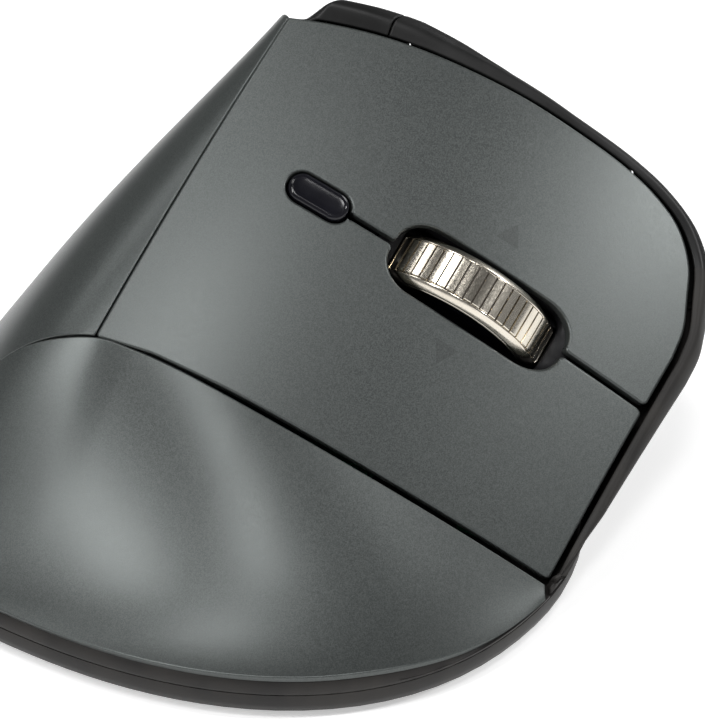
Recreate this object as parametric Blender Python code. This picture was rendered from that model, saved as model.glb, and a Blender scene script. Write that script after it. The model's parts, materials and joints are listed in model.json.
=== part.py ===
"""Leaned ergonomic computer mouse: shells, keys, tilting wheel, thumb buttons and the parts inside.

Lengths are in millimetres up to the point where a mesh is made, then metres.
+Y is the nose, +X the little-finger side, -X the thumb side, +Z up, and the desk is z = 0.
The finger deck leans down towards the little finger.  A point on it has three deck coordinates:
t runs across the deck, y forwards, and q is the distance out from the leaned datum plane.
"""
import math

import bmesh
import bpy
import numpy as np

MM = 0.001
GAP = 0.3                      # clearance between neighbouring pieces
CENTRE = np.array([0.86, -0.36, 0.0])   # moves the footprint's middle onto the origin
LEAN = math.radians(31.0)      # sideways lean of the finger deck
SIN, COS = math.sin(LEAN), math.cos(LEAN)
DECK_X = -2.5                  # where the datum plane meets the desk
FRONT_Y = 48.0                 # front edge of the two keys
SEAM_Y = -8.0                  # seam between the deck and the palm shell
HINGE_Y = 1.0                  # where the keys bend
SPLIT_T = -30.3                # split between the two keys, also the wheel's middle plane
KEY_DEPTH = 2.2
SHELL = 1.8
WHEEL_Y = 27.3
WHEEL_R = 13.5
WHEEL_HALF = 3.3
WHEEL_PROUD = 3.6              # how far the tread stands out of the deck
MODE_Y = 6.6
REAR_END, BUTTONS_END, CHEEK_END = 0.13, 0.42, 0.62   # stations along the thumb wall
RIM_V, BUTTON_V = 0.25, 0.57   # rows down the thumb wall
WALL_TOP = 4.3                 # top of the bottom case's wall
BELT_TOP = 7.0                 # top of the belt
SHELL_FOOT = 7.3               # lower edge of the palm and little-finger shells
LIP = 1.1                      # upright lip above that edge
FLOOR_Z, FLOOR_TOP = 0.9, 2.6

# thumb-side and nose edge of the deck: y station, then deck coordinate t
EDGE_Y = (-8, -3.4, 2.6, 8.7, 14.9, 21.1, 27.6, 33.2, 37.6, 41.5, 44.5, 46.2, 47.5, 48.0)
EDGE_T = (-50.2, -52.2, -54.3, -55.8, -56.8, -57.4, -57.4, -57.1, -56.2, -54.3, -50.8, -46.6, -42.7,
          -38.5)
# little-finger edge of the deck
FLANK_Y = (-8, -1, 9, 24, 48)
FLANK_T = (0.9, -0.7, -1.5, -2.2, -3.4)
# where the two shells meet the outline, in degrees round from the little-finger side
PALM_TURN = (205, 306)
FLANK_TURN = (92, 82, 74, 66, 58, 50, 42, 33, 24, 15, 6, -4, -15, -27, -38, -46, -53)


# ---------------------------------------------------------------- shapes of the object

def drop(y):
    """Height of the deck out of its datum plane, falling away towards the nose."""
    g = FRONT_Y - y
    return 5.45 + 0.96 * g - 0.0051 * g * g


def slope(y):
    return math.atan(0.96 - 0.0102 * (FRONT_Y - y))


def leaned(t, y, q):
    t, y, q = np.broadcast_arrays(np.asarray(t, float), np.asarray(y, float), np.asarray(q, float))
    return np.stack([DECK_X + t * COS + q * SIN, y, q * COS - t * SIN], -1)


def skin(t, y, depth=0.0):
    """Point on the finger deck, or below it by depth."""
    t = np.asarray(t, float)
    y = np.asarray(y, float)
    return leaned(t, y, drop(y) - 0.0011 * (t - SPLIT_T) ** 2 - depth)


class Frame:
    """Local axes on the deck: t across, a forwards along the slope, m outwards."""

    def __init__(self, t, y):
        b = slope(y)
        self.origin = leaned(t, y, drop(y))
        self.axis_t = np.array([COS, 0.0, -SIN])
        self.axis_a = np.array([-math.sin(b) * SIN, math.cos(b), -math.sin(b) * COS])
        self.axis_m = np.array([math.cos(b) * SIN, math.sin(b), math.cos(b) * COS])

    def point(self, t, a, m):
        return self.origin + t * self.axis_t + a * self.axis_a + m * self.axis_m


class Level:
    """Plain upright axes, used like a Frame."""

    def __init__(self, x, y, z):
        self.origin = np.array([x, y, z], float)
        self.axis_t = np.array([1.0, 0.0, 0.0])
        self.axis_a = np.array([0.0, 1.0, 0.0])
        self.axis_m = np.array([0.0, 0.0, 1.0])

    point = Frame.point


def spline(points, u):
    """Smooth curve through the points; u from 0 to 1 passes them at equal steps."""
    p = np.asarray(points, float)
    n = len(p) - 1
    knot = np.maximum(np.linalg.norm(np.diff(p, axis=0), axis=1), 1e-6)[:, None] ** 0.5
    rate = np.diff(p, axis=0) / knot
    inner = (rate[:-1] * knot[1:] + rate[1:] * knot[:-1]) / (knot[1:] + knot[:-1])
    tangent = np.vstack([rate[:1], inner, rate[-1:]])
    s = np.clip(np.asarray(u, float), 0, 1) * n
    i = np.minimum(s.astype(int), n - 1)
    f = (s - i)[..., None]
    g = 1 - f
    return (g * g * (1 + 2 * f) * p[i] + f * f * (3 - 2 * f) * p[i + 1]
            + f * g * g * knot[i] * tangent[i] - f * f * g * knot[i] * tangent[i + 1])


def outline(degrees, inset=0.0):
    """Plan outline of the belt, anticlockwise from the little-finger side."""
    r = np.radians(np.asarray(degrees, float))
    c, s = np.cos(r), np.sin(r)
    power = np.where(c > 0, 2.3, 2.0)
    half_x = np.where(c > 0, 43.2, 45.6) - inset
    half_y = np.where(s > 0, 56.3, 42.3) - inset
    reach = (np.abs(c / half_x) ** power + np.abs(s / half_y) ** power) ** (-1 / power)
    sweep = np.where(s < 0, 11.0 * (s * reach / half_y) ** 2, 0.0)
    return np.stack([1.3 + reach * c + sweep, -7.0 + reach * s], -1)


def at_height(plan, z):
    plan = np.asarray(plan, float)
    return np.concatenate([plan, np.full(plan.shape[:-1] + (1,), float(z))], -1)


def cubic(p0, p1, p2, p3, v):
    v = v[None, :, None]
    p0, p1, p2, p3 = (p[:, None] for p in (p0, p1, p2, p3))
    return (1 - v) ** 3 * p0 + 3 * v * (1 - v) ** 2 * p1 + 3 * v * v * (1 - v) * p2 + v ** 3 * p3


def with_lip(grid):
    """Add the upright lip below a flared foot."""
    return np.concatenate([grid, grid[:, -1:] - [0, 0, LIP]], axis=1)


def edge_t(y):
    return np.interp(y, EDGE_Y, EDGE_T)


def flank_t(y):
    return np.interp(y, FLANK_Y, FLANK_T)


def palm_rows(u):
    """Control rows of the palm shell, from the deck seam back and down to the foot."""
    top = skin(EDGE_T[0] + (FLANK_T[0] - EDGE_T[0]) * u, SEAM_Y - GAP)
    foot = at_height(outline(PALM_TURN[0] + (PALM_TURN[1] - PALM_TURN[0]) * u), SHELL_FOOT + LIP)
    out = foot[:, :2] - top[:, :2]
    upper = top + np.hstack([out * 0.46, np.zeros((len(u), 1))])
    lower = foot + np.hstack([-out * 0.44, (top[:, 2:] - foot[:, 2:]) * 0.09])
    return top, upper, lower, foot


def palm_sheet(nu=26, nv=14, reach=0.0):
    """Palm shell; reach carries it a little past both side edges."""
    u = np.linspace(-reach, 1 + reach, nu)
    return with_lip(cubic(*palm_rows(u), np.linspace(0, 1, nv)))


def palm_side(u, v):
    """One side edge of the palm shell, u = 0 at the thumb and 1 at the little finger."""
    return cubic(*palm_rows(np.array([float(u)])), np.asarray(v, float))[0]


def flank_sheet(nu=40, nv=9):
    """Little-finger shell, from the deck's flank out to the flared foot."""
    y = np.linspace(FRONT_Y - 3.2, SEAM_Y, 12)
    crease = palm_side(1, [0.2, 0.4, 0.58, 0.76, 0.94])
    top = spline(np.vstack([skin(flank_t(y) + GAP, y), crease]), np.linspace(0, 1, nu))
    turn = spline(np.array(FLANK_TURN, float)[:, None], np.linspace(0, 1, nu))[:, 0]
    foot = at_height(outline(turn), SHELL_FOOT + LIP)
    out = foot[:, :2] - top[:, :2]
    reach = np.linalg.norm(out, axis=1)[:, None]
    fall = (top[:, 2:] - foot[:, 2:]) / reach
    first = np.minimum(np.maximum(0.5 * fall + 0.3, 0.9 * fall), 1.5 * fall + 0.05)
    upper = top + np.hstack([out * 0.36, -first * reach * 0.36])
    lower = foot - np.hstack([out * 0.34, -0.5 * fall * reach * 0.34])
    return with_lip(cubic(top, upper, lower, foot, np.linspace(0, 1, nv)))


def side_point(y):
    """Upper edge, outward direction and foot of the thumb-side and nose wall at an edge station."""
    u = np.clip(y, 0, 1)
    edge = spline(skin(np.array(EDGE_T), np.array(EDGE_Y)), np.minimum(u / 0.8, 1.0))
    nose = skin(EDGE_T[-1] + (FLANK_T[-1] - EDGE_T[-1]) * np.clip((u - 0.8) / 0.2, 0, 1), FRONT_Y)
    top = np.where((u > 0.8)[:, None], nose, edge)
    way = spline([(-1, -0.1), (-1, 0.0), (-1, 0.1), (-0.97, 0.25), (-0.75, 0.65), (-0.1, 1), (0, 1), (0, 1)],
                 u)
    way = way / np.linalg.norm(way, axis=1)[:, None]
    turn = spline(np.array([206, 187, 171, 157, 143, 127, 110, 93.0])[:, None], u)[:, 0]
    foot = at_height(outline(turn), WALL_TOP + GAP)
    return top, way, foot


def side_sheet(u, v):
    """Thumb-side and nose wall: rim, bulge under the rim, thumb scoop, flared foot."""
    top, way, foot = side_point(u)
    height = (top[:, 2] - foot[:, 2])[:, None]
    bulge = np.interp(u, (0, 0.05, 0.15, 0.2, 0.27, 0.35, 0.5, 0.6, 0.7, 0.8, 1),
                      (2.6, 4.4, 5.2, 4.9, 3.4, 2.8, 2.9, 2.8, 2.3, 1.9, 1.6))[:, None]
    scoop = np.interp(u, (0, 0.12, 0.3, 0.45, 0.6, 0.8, 1), (1.5, 4.0, 5.0, 1.8, 0.4, 0.3, 0.0))[:, None]
    out = np.hstack([way, np.zeros((len(u), 1))])
    down = np.array([[0, 0, 1.0]])
    far = foot - top
    lift = np.interp(u, (0, 0.03, 0.1, 0.15, 0.2, 0.3, 0.5, 0.65),
                     (1.2, 2.6, 2.3, 1.85, 1.2, 0.8, 0.3, 0))[:, None]
    rows = [top + out * 0.4 - down * 0.25,
            top + out * np.minimum(2.2, bulge * 0.6) + down * (0.9 * lift - 0.3),
            top + out * bulge * 0.95 + down * (1.1 * lift - np.minimum(1.5, 0.1 * height)),
            top + out * bulge - down * 0.18 * height,
            top + far * 0.30 + out * (bulge * 0.5 - scoop * 0.25),
            top + far * 0.55 - out * scoop,
            top + far * 0.82 - out * scoop * 0.55,
            foot]
    wall = np.stack([spline(np.stack([r[i] for r in rows]), v) for i in range(len(u))])
    # towards the rear the wall takes up the side edge of the palm shell
    back = palm_side(0, v)
    high, low = (1 - v)[None, :, None], v[None, :, None]
    start = back[None] + (top - back[0])[:, None] * high + (foot - back[-1])[:, None] * low
    width = np.interp(v, (0, 0.35, 0.6, 1), (0.045, 0.07, 0.16, 0.16))
    blend = np.clip(u[:, None] / width, 0, 1)
    blend = (blend * blend * (3 - 2 * blend))[..., None]
    return start * (1 - blend) + wall * blend


# ---------------------------------------------------------------- making meshes

def finish(name, mesh, material, origin=(0, 0, 0), smooth=True):
    """Wrap a mesh in millimetres as an object in metres with its origin on the given point."""
    base = np.asarray(origin, float)
    for vertex in mesh.vertices:
        vertex.co = [(c - o) * MM for c, o in zip(vertex.co, base)]
    obj = bpy.data.objects.new(name, mesh)
    obj.location = (base + CENTRE) * MM
    bpy.context.scene.collection.objects.link(obj)
    mesh.materials.append(material)
    for face in mesh.polygons:
        face.use_smooth = smooth
    return obj


def mesh_of(name, verts, faces):
    mesh = bpy.data.meshes.new(name)
    mesh.from_pydata([tuple(float(c) for c in v) for v in verts], [], faces)
    tidy = bmesh.new()
    tidy.from_mesh(mesh)
    bmesh.ops.remove_doubles(tidy, verts=tidy.verts, dist=1e-4)
    bmesh.ops.recalc_face_normals(tidy, faces=tidy.faces)
    if tidy.calc_volume(signed=True) < 0:
        bmesh.ops.reverse_faces(tidy, faces=tidy.faces)
    tidy.to_mesh(mesh)
    tidy.free()
    mesh.update()
    return mesh


def trim(grid, gap):
    """Pull all four borders of a surface grid in by the gap."""
    g = grid.copy()
    for a, b in ((g[0], g[1]), (g[-1], g[-2]), (g[:, 0], g[:, 1]), (g[:, -1], g[:, -2])):
        step = b - a
        length = np.maximum(np.linalg.norm(step, axis=-1, keepdims=True), 1e-6)
        a += step * np.minimum(gap / length, 0.45)
    return g


def normals(grid, outward):
    du = np.gradient(grid, axis=0)
    dv = np.gradient(grid, axis=1)
    n = np.cross(du, dv)
    n /= np.maximum(np.linalg.norm(n, axis=-1, keepdims=True), 1e-9)
    middle = n[n.shape[0] // 2, n.shape[1] // 2]
    return n if middle @ np.asarray(outward, float) > 0 else -n


def sheet(name, outer, inner, material, origin=(0, 0, 0)):
    """Closed thin piece between an outer and an inner surface grid."""
    nu, nv = outer.shape[:2]
    verts = np.vstack([outer.reshape(-1, 3), inner.reshape(-1, 3)])
    size = nu * nv
    faces = []
    for i in range(nu - 1):
        for j in range(nv - 1):
            a, b, c, d = i * nv + j, (i + 1) * nv + j, (i + 1) * nv + j + 1, i * nv + j + 1
            faces.append((a, b, c, d))
            faces.append((a + size, d + size, c + size, b + size))
    rim = [i * nv for i in range(nu)] + [(nu - 1) * nv + j for j in range(1, nv)]
    rim += [i * nv + nv - 1 for i in range(nu - 2, -1, -1)] + list(range(nv - 2, 0, -1))
    for a, b in zip(rim, rim[1:] + rim[:1]):
        faces.append((a, b, b + size, a + size))
    return finish(name, mesh_of(name, verts, faces), material, origin)


def shell(name, grid, outward, material, thickness=SHELL, lowest=0.0, origin=(0, 0, 0)):
    outer = trim(grid, GAP / 2)
    inner = outer - normals(outer, outward) * thickness
    inner[..., 2] = np.maximum(inner[..., 2], lowest)
    return sheet(name, outer, inner, material, origin)


def lofted(name, loops, material, origin=(0, 0, 0), smooth=False, hollow=False):
    """Closed solid through a stack of loops; a hollow one joins its last loop to its first."""
    n = len(loops[0])
    levels = len(loops)
    verts = np.vstack(loops)
    faces = [] if hollow else [tuple(range(n - 1, -1, -1)), tuple((levels - 1) * n + k for k in range(n))]
    for level in range(levels if hollow else levels - 1):
        above = (level + 1) % levels
        for k in range(n):
            m = (k + 1) % n
            faces.append((level * n + k, level * n + m, above * n + m, above * n + k))
    return finish(name, mesh_of(name, verts, faces), material, origin, smooth)


def ring_loop(half_t, half_a, corner, steps=4):
    """Rounded rectangle as (t, a) pairs."""
    points = []
    for k, (st, sa) in enumerate(((1, 1), (-1, 1), (-1, -1), (1, -1))):
        for j in range(steps + 1):
            r = math.radians(90 * k + 90 * j / steps)
            points.append((st * (half_t - corner) + corner * math.cos(r),
                           sa * (half_a - corner) + corner * math.sin(r)))
    return points


def block(name, frame, size, material, corner=0.5, chamfer=0.25, origin=None):
    """Box with rounded corners; size is (t0, t1, a0, a1, m0, m1) in the frame."""
    t0, t1, a0, a1, m0, m1 = size
    mid_t, mid_a = (t0 + t1) / 2, (a0 + a1) / 2
    half_t, half_a = (t1 - t0) / 2, (a1 - a0) / 2
    corner = min(corner, half_t * 0.98, half_a * 0.98)
    chamfer = min(chamfer, (m1 - m0) * 0.3, corner * 0.9)
    loops = []
    for inset, m in ((chamfer, m0), (0, m0 + chamfer), (0, m1 - chamfer), (chamfer, m1)):
        pairs = ring_loop(half_t - inset, half_a - inset, corner - inset * 0.9)
        loops.append(np.array([frame.point(mid_t + p, mid_a + q, m) for p, q in pairs]))
    return lofted(name, loops, material, (0, 0, 0) if origin is None else origin)


def turned(name, centre, axis, rings, material, steps=32, origin=(0, 0, 0), hollow=False):
    """Round piece; rings are (distance along the axis, radius)."""
    axis = np.asarray(axis, float)
    side = np.cross(axis, [0.3, 1.0, 0.2])
    side /= np.linalg.norm(side)
    other = np.cross(axis, side)
    turn = np.linspace(0, 2 * math.pi, steps, endpoint=False)[:, None]
    loops = [centre + axis * d + (side * np.cos(turn) + other * np.sin(turn)) * r for d, r in rings]
    return lofted(name, loops, material, origin, smooth=True, hollow=hollow)


def combine(obj, tool, kind, solver='EXACT'):
    """Apply a Boolean with a helper solid, then remove the helper."""
    tool.hide_render = True
    tool.display_type = 'WIRE'
    change = obj.modifiers.new(kind.lower(), 'BOOLEAN')
    change.operation = kind
    change.solver = solver
    change.object = tool
    bpy.context.view_layer.update()
    result = bpy.data.meshes.new_from_object(obj.evaluated_get(bpy.context.evaluated_depsgraph_get()))
    obj.modifiers.clear()
    old = obj.data
    name = old.name
    obj.data = result
    bpy.data.meshes.remove(old)
    result.name = name
    bpy.data.objects.remove(tool)
    return obj


def cut(obj, tool):
    return combine(obj, tool, 'DIFFERENCE')


def weld(obj, tool):
    return combine(obj, tool, 'UNION')


def material(name, color, metallic=0.0, roughness=0.5):
    made = bpy.data.materials.new(name)
    made.use_nodes = True
    surface = made.node_tree.nodes['Principled BSDF']
    surface.inputs['Base Color'].default_value = (*color, 1)
    surface.inputs['Metallic'].default_value = metallic
    surface.inputs['Roughness'].default_value = roughness
    return made


# ---------------------------------------------------------------- the pieces

for leftover in list(bpy.data.objects):
    bpy.data.objects.remove(leftover)

GREY = material('grey_shell', (0.14, 0.15, 0.15), 0.5, 0.4)
BLACK = material('black_plastic', (0.03, 0.03, 0.03), 0.0, 0.45)
GLOSS = material('gloss_black', (0.015, 0.015, 0.018), 0.0, 0.15)
METAL = material('wheel_metal', (0.65, 0.62, 0.58), 1.0, 0.25)
RUBBER = material('slide_feet', (0.5, 0.5, 0.5), 0.0, 0.4)
BOARD = material('circuit_board', (0.02, 0.12, 0.06), 0.0, 0.4)
PART = material('component_body', (0.05, 0.05, 0.05), 0.0, 0.5)
STEEL = material('steel', (0.55, 0.55, 0.56), 1.0, 0.35)
CELL = material('cell_wrap', (0.35, 0.37, 0.4), 0.0, 0.4)
CLEAR = material('clear_lens', (0.8, 0.82, 0.85), 0.0, 0.1)

WHEEL = Frame(SPLIT_T, WHEEL_Y)
MODE = Frame(SPLIT_T, MODE_Y)
HINGE = skin(SPLIT_T, HINGE_Y, 1.0)
WHEEL_MID = WHEEL_PROUD - WHEEL_R
AXLE = WHEEL.point(0, 0, WHEEL_MID)
TILT = WHEEL.point(0, 0, -14.0)


def deck_piece(name, t_low, t_high, ys, columns, mat, taper=(0, 0, 0, 0), origin=(0, 0, 0)):
    """Piece of the deck; taper draws its underside in at the low t, high t, rear and front edges."""
    ys = np.array(ys, float)
    along = (ys - ys[0]) / (ys[-1] - ys[0])
    low_ys = ys + taper[2] * (1 - along) - taper[3] * along
    outer = np.stack([skin(np.linspace(t_low(y), t_high(y), columns), y) for y in ys])
    inner = np.stack([skin(np.linspace(t_low(y) + taper[0], t_high(y) - taper[1], columns), y, KEY_DEPTH)
                      for y in low_ys])
    inner[..., 2] = np.maximum(inner[..., 2], WALL_TOP + GAP)
    return sheet(name, outer, inner, mat, origin)


def wheel_slot():
    return block('slot', WHEEL, (-4.85, 4.85, -13.4, 13.4, -8, 8), BLACK, corner=4.0, chamfer=0.0)


def mode_slot():
    return block('slot', MODE, (-2.25, 2.25, -4.65, 4.65, -8, 8), BLACK, corner=2.2, chamfer=0.0)


def keys():
    ys = [HINGE_Y + GAP, 5, 9, 13, 17, 21, 25, 29, 33, 37, 40, 42.5, 44.5, 46.2, 47.4, FRONT_Y]
    left = deck_piece('left_key', lambda y: edge_t(y), lambda y: SPLIT_T - 0.3, ys, 10, GREY,
                      (1.8, 0, 0, 0.7), HINGE)
    right = deck_piece('right_key', lambda y: SPLIT_T + 0.3, lambda y: flank_t(y) - 0.2, ys, 10, GREY,
                       (0, 0.8, 0, 0.7), HINGE)
    for key, t in ((left, -10.7), (right, 13.3)):
        cut(key, wheel_slot())
        cut(key, mode_slot())
        weld(key, block('post', WHEEL, (t - 1.2, t + 1.2, 12.6, 15.4, -3.9, -1.4), GREY, 0.4, 0.0))
    deck_piece('key_bridge', lambda y: edge_t(y), lambda y: flank_t(y) - 0.2,
               [SEAM_Y + 0.1, -5, -2, HINGE_Y], 14, GREY, (1.8, 1.0, 1.6, 0))


def palm_clearance():
    """Palm shell grown by the gap on every side, to cut its neighbours back."""
    grid = palm_sheet(reach=0.006)[:, :-1]
    n = normals(grid, (0, -1, 1))
    return sheet('clearance', grid + n * 0.6, grid - n * (SHELL + 0.8), GREY)


def shells():
    flank = shell('pinky_shell', flank_sheet(), (1, 0, 1), GREY, lowest=SHELL_FOOT)
    cut(flank, palm_clearance())
    shell('palm_shell', palm_sheet(), (0, -1, 1), GREY, lowest=SHELL_FOOT)


def side_walls():
    """Rim, thumb buttons, cheek, scooped thumb wall and nose, all parts of one smooth wall."""
    u = np.concatenate([np.linspace(0, REAR_END, 8), np.linspace(REAR_END, BUTTONS_END, 12)[1:],
                        np.linspace(BUTTONS_END, CHEEK_END, 9)[1:], np.linspace(CHEEK_END, 0.995, 20)[1:]])
    v = np.concatenate([np.linspace(0, RIM_V, 4), np.linspace(RIM_V, BUTTON_V, 6)[1:],
                        np.linspace(BUTTON_V, 1, 8)[1:]])
    outer = side_sheet(u, v)
    inner = outer - normals(outer, (-1, 0, 0)) * 0.8
    top, way, foot = side_point(u)
    # keep clear of the keys' edges
    near = np.einsum('uvk,uk->uv', inner[..., :2] - top[:, None, :2], way)
    high = inner[..., 2] > (top[:, 2] - 5.0)[:, None]
    inner[..., :2] += way[:, None] * (np.maximum(0.4 - near, 0) * high)[..., None]
    inner[..., 2] = np.maximum(inner[..., 2], WALL_TOP + GAP)
    ends = {'start': 0, 'rear': 7, 'buttons': 18, 'cheek': 26, 'nose': len(u) - 1}
    rows = {'top': 0, 'rim': 3, 'button': 8, 'foot': len(v) - 1}

    def piece(name, u0, u1, v0, v1, mat):
        part = (slice(ends[u0], ends[u1] + 1), slice(rows[v0], rows[v1] + 1))
        middle = outer[part][(ends[u1] - ends[u0]) // 2, (rows[v1] - rows[v0]) // 2]
        return sheet(name, trim(outer[part], 0.2), trim(inner[part], 0.9), mat,
                     middle if 'button' in name else (0, 0, 0))

    made = [piece('thumb_rim', 'start', 'cheek', 'top', 'rim', GLOSS),
            piece('thumb_button_rear', 'start', 'rear', 'rim', 'button', BLACK),
            piece('thumb_button_front', 'rear', 'buttons', 'rim', 'button', BLACK),
            piece('thumb_cheek', 'buttons', 'cheek', 'rim', 'button', BLACK),
            piece('thumb_panel', 'start', 'cheek', 'button', 'foot', BLACK)]
    for obj in (made[0], made[1], made[4]):
        cut(obj, palm_clearance())
    nose = piece('nose_bezel', 'cheek', 'nose', 'top', 'foot', BLACK)
    mouth = block('mouth', Level(-13, 46, 7), (-4.6, 4.6, -8, 8, -1.8, 1.8), BLACK, 1.6, 0.0)
    combine(nose, mouth, 'DIFFERENCE', 'MANIFOLD')


def case():
    turn = np.linspace(0, 360, 96, endpoint=False)
    loops = [at_height(outline(turn, inset), z) for inset, z in
             ((1.4, FLOOR_Z), (0.5, 1.5), (0.1, 2.6), (0, WALL_TOP), (1.7, WALL_TOP), (1.8, FLOOR_TOP))]
    base = lofted('bottom_case', loops, BLACK, smooth=False)
    for x, y in FEET:
        cut(base, block('recess', Level(x, y, 0), (-8.3, 8.3, -3.8, 3.8, 0, 1.5), BLACK, 3.4, 0.0))
    cut(base, block('window', Level(*SENSOR, 0), (-4.5, 4.5, -5.5, 5.5, 0, 4), BLACK, 2.5, 0.0))
    cut(base, block('slot', Level(*POWER, 0), (-2.2, 2.2, -4.2, 4.2, 0, 4), BLACK, 1.0, 0.0))
    cut(base, turned('hole', (*PAIR, 0), (0, 0, 1), ((0, 2.6), (4, 2.6)), BLACK))
    for x, y in SCREWS:
        weld(base, turned('boss', (x, y, 0), (0, 0, 1), ((2.0, 3.6), (6.0, 3.4)), BLACK, 24))
        cut(base, turned('bore', (x, y, 0), (0, 0, 1), ((0, 2.7), (2.4, 2.7), (2.401, 1.4), (7, 1.4)),
                         BLACK, 24))


def belt():
    turn = np.linspace(91, -153, 80)
    grid = [at_height(outline(turn, inset), z) for inset, z in
            ((0.0, WALL_TOP + GAP), (0.0, 5.2), (0.7, BELT_TOP), (2.0, BELT_TOP), (2.0, WALL_TOP + GAP))]
    n = len(turn)
    rings = len(grid)
    faces = [tuple(r * n for r in range(rings)), tuple(r * n + n - 1 for r in range(rings - 1, -1, -1))]
    for r in range(rings):
        s = (r + 1) % rings
        faces += [(r * n + k, s * n + k, s * n + k + 1, r * n + k + 1) for k in range(n - 1)]
    finish('belt', mesh_of('belt', np.vstack(grid), faces), BLACK)


FEET = ((-20, 22), (16, 32), (-16, -28), (24, -30))
SENSOR = (6, 6)
POWER = (18, -14)
PAIR = (-10, -8)
SCREWS = ((-30, 4), (28, 14), (23, -38.5))


def feet():
    corners = ('front_left', 'front_right', 'rear_left', 'rear_right')
    for corner, (x, y) in zip(corners, FEET):
        block('foot_' + corner, Level(x, y, 0), (-8, 8, -3.5, 3.5, 0, 1.2), RUBBER, 3.2, 0.3)


def tube(name, frame, half_t, half_a, wall, m0, m1, mat, origin=(0, 0, 0)):
    """Rectangular frame, open above and below."""
    body = block(name, frame, (-half_t, half_t, -half_a, half_a, m0, m1), mat, 1.0, 0.2, origin)
    inner = (-half_t + wall, half_t - wall, -half_a + wall, half_a - wall, m0 - 2, m1 + 2)
    return cut(body, block('hollow', frame, inner, mat, 0.5, 0.0))


def wheel():
    across = WHEEL.axis_t
    tube('wheel_well', WHEEL, 7.3, 17.4, 1.0, -19, -5.0, GLOSS)
    lift = tube('wheel_lift', WHEEL, 5.9, 16.0, 0.7, -18, -3.4, BLACK, TILT)
    for end in (-1, 1):
        cut(lift, turned('bore', TILT, WHEEL.axis_a * end, ((14, 1.0), (18, 1.0)), BLACK, 20))
    weld(lift, block('lug', WHEEL, (5.5, 10.5, -2, 2, -4.3, -3.4), BLACK, 0.4, 0.0))
    yoke = tube('wheel_yoke', WHEEL, 4.5, 14.9, 0.8, -18, -5, BLACK, TILT)
    for end in (-1, 1):
        weld(yoke, turned('pin', TILT, WHEEL.axis_a * end, ((14.5, 0.92), (15.9, 0.92)), BLACK, 20))
        cut(yoke, turned('bore', AXLE, across * end, ((3, 1.1), (6, 1.1)), BLACK, 20))
    turned('wheel_tread', AXLE, across,
           ((-2.5, WHEEL_R - 0.15), (-2.3, WHEEL_R), (2.3, WHEEL_R), (2.5, WHEEL_R - 0.15),
            (2.5, 11.6), (-2.5, 11.6)), METAL, 64, AXLE, hollow=True)
    turned('wheel_hub', AXLE, across,
           ((-4.3, 0.9), (-4.3, 1.0), (-3.3, 1.0), (-3.3, 12.0), (-2.75, 12.6), (-2.65, 11.3),
            (2.65, 11.3), (2.75, 12.6), (3.3, 12.0), (3.3, 1.0), (4.3, 1.0), (4.3, 0.9)), BLACK, 64, AXLE)


def switches():
    deck = block('key_board', WHEEL, (-13.7, 16.5, 4, 20, -11.4, -10.2), BOARD, 1.0, 0.0)
    cut(deck, block('gap', WHEEL, (-7.7, 7.7, -5, 17.8, -13, -8), BOARD, 0.5, 0.0))
    for name, t in (('left_switch', -10.7), ('right_switch', 13.3)):
        part = block(name, WHEEL, (t - 2.9, t + 2.9, 6.6, 19.4, -9.9, -5.0), PART, 0.3, 0.2)
        weld(part, block('plunger', WHEEL, (t - 0.9, t + 0.9, 13, 15, -5.5, -4.5), PART, 0.4, 0.0))
    block('middle_switch', WHEEL, (8.3, 10.2, -2.4, 2.4, -8.6, -4.95), PART, 0.4, 0.2)
    block('mode_board', MODE, (-6, 6, -6.5, 3.6, -8.6, -7.4), BOARD, 1.0, 0.0)
    block('mode_switch', MODE, (-3, 3, -3, 3, -7.1, -4.2), PART, 0.5, 0.3)


def mode_button():
    block('mode_button', MODE, (-1.95, 1.95, -4.35, 4.35, -3.4, 0.55), GLOSS, 1.93, 0.35, MODE.origin)


def electronics():
    block('main_board', Level(-2, 2, 0), (-19, 21, -14, 15, 7.0, 8.2), BOARD, 1.5, 0.0)
    block('optical_sensor', Level(*SENSOR, 0), (-4.5, 4.5, -6, 6, 8.5, 11.2), PART, 0.4, 0.3)
    lens = block('sensor_lens', Level(*SENSOR, 0), (-7.5, 7.5, -8.5, 8.5, 2.9, 6.7), CLEAR, 1.0, 0.3)
    weld(lens, block('nozzle', Level(*SENSOR, 0), (-4.0, 4.0, -5.0, 5.0, 1.6, 3.5), CLEAR, 2.0, 0.0))
    block('battery_cell', Level(-2, -27, 0), (-15, 13, -9, 9, 3.0, 9.4), CELL, 1.5, 1.0)
    slider = block('power_slider', Level(*POWER, 0), (-3.6, 3.6, -5.4, 1.4, 2.9, 4.0), BLACK, 0.6, 0.2,
                   (*POWER, 3.4))
    weld(slider, block('knob', Level(*POWER, 0), (-1.8, 1.8, -3.8, -0.2, 1.2, 3.4), BLACK, 0.6, 0.0))
    block('power_switch', Level(*POWER, 0), (-4, 4, -6, 6, 4.4, 6.7), STEEL, 0.4, 0.2)
    turned('pairing_button', (*PAIR, 0), (0, 0, 1), ((1.3, 2.0), (1.5, 2.25), (4.0, 2.25)), BLACK, 24,
           (*PAIR, 2.5))
    block('pairing_switch', Level(*PAIR, 0), (-3, 3, -3, 3, 4.6, 6.7), STEEL, 0.5, 0.3)
    port = block('charge_port', Level(-13, 39.5, 7), (-4.3, 4.3, -3.5, 3.0, -1.5, 1.5), STEEL, 1.4, 0.0)
    cut(port, block('mouth', Level(-13, 39.5, 7), (-4.0, 4.0, -3.0, 6, -1.2, 1.2), STEEL, 1.1, 0.0))
    weld(port, block('tongue', Level(-13, 39.5, 7), (-3.2, 3.2, -3.2, 2.4, -0.35, 0.35), STEEL, 0.3, 0.0))
    block('port_board', Level(-13, 36, 0), (-5.5, 5.5, -6, 5, 4.0, 5.2), BOARD, 1.0, 0.0)


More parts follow.
